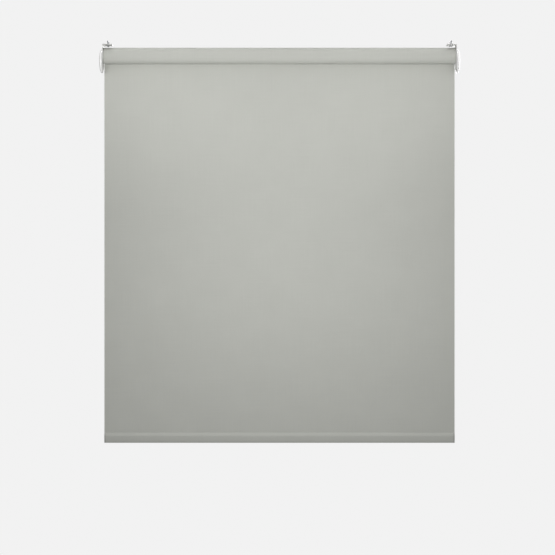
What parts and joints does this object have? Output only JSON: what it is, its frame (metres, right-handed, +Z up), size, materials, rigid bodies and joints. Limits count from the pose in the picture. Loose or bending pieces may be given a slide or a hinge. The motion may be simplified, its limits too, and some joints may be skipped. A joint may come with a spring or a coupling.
{
  "type": "roller blind",
  "caption": "Cordless spring roller blind in its two covered brackets, with a plain grey cloth that hangs to a weighted hem and winds up on the tube",
  "frame": {"origin": "on the underside of the window recess, midway between the brackets and straight above the roller's axis", "axes": "+X along the roller to the spring end, on the right seen from the room; +Y from the room to the window; +Z up"},
  "size_m": [0.9, 0.0576, 1.0071],
  "materials": {
    "cloth": "smooth closely woven light-blocking cloth, matt, warm light grey",
    "bracket_steel": "white powder coat, satin",
    "cover_plastic": "white, glossy",
    "acetal": "off-white moulded acetal",
    "cap_plastic": "grey moulded plastic, matt, near the cloth's colour",
    "dark_plastic": "dark grey moulded plastic",
    "tube_aluminium": "mill finish",
    "steel": "bright turned steel",
    "spring_steel": "oiled spring wire",
    "zinc": "bright zinc plate"
  },
  "bodies": {
    "root": {"bracket_left": "bracket_steel", "bracket_right": "bracket_steel", "cover_left": "cover_plastic", "cover_right": "cover_plastic", "socket_left": "acetal", "socket_right": "acetal", "screw_left_front": "zinc", "screw_left_back": "zinc", "screw_right_front": "zinc", "screw_right_back": "zinc", "spring_shaft": "steel", "retaining_clip": "spring_steel", "spring_plug_fixed": "dark_plastic", "torsion_spring": "spring_steel", "ratchet_wheel": "steel", "fabric_sheet": "cloth"},
    "roller": {"roller_tube": "tube_aluminium", "fabric_spline": "dark_plastic", "fabric_roll": "cloth", "end_crown_right": "acetal", "spring_plug_drive": "dark_plastic", "pawl_pin_a": "steel", "pawl_pin_b": "steel", "end_plug_left": "acetal", "pin_retainer": "dark_plastic", "idle_pin_spring": "spring_steel"},
    "idle_pin": {"idle_pin": "steel"},
    "pawl_a": {"pawl_a": "steel"},
    "pawl_b": {"pawl_b": "steel"},
    "hem": {"hem_pocket": "cloth", "bottom_bar": "tube_aluminium", "hem_cap_left": "cap_plastic", "hem_cap_right": "cap_plastic"}
  },
  "joints": [
    {"name": "hem_raise", "type": "slide", "parent": "root", "child": "hem", "axis": [0, 0, 1], "range_m": [0, 0.91], "deforming": ["fabric_sheet"]},
    {"name": "roller_turn", "type": "hinge", "parent": "root", "child": "roller", "pos_m": [0, 0, -0.028], "axis": [1, 0, 0], "range_deg": [0, 2520.01]},
    {"name": "idle_pin_push", "type": "slide", "parent": "roller", "child": "idle_pin", "axis": [1, 0, 0], "range_m": [0, 0.0065], "stiffness_N_per_m": 500, "springref_m": -0.008, "deforming": ["idle_pin_spring"]},
    {"name": "pawl_a_swing", "type": "hinge", "parent": "roller", "child": "pawl_a", "pos_m": [0.4271, 0, -0.0158], "axis": [1, 0, 0], "range_deg": [0, 24]},
    {"name": "pawl_b_swing", "type": "hinge", "parent": "roller", "child": "pawl_b", "pos_m": [0.4271, 0, -0.0402], "axis": [1, 0, 0], "range_deg": [0, 24]}
  ],
  "couplings": [
    {"joint": "roller_turn", "follows": "hem_raise", "rad_per_m": 48.332}
  ]
}
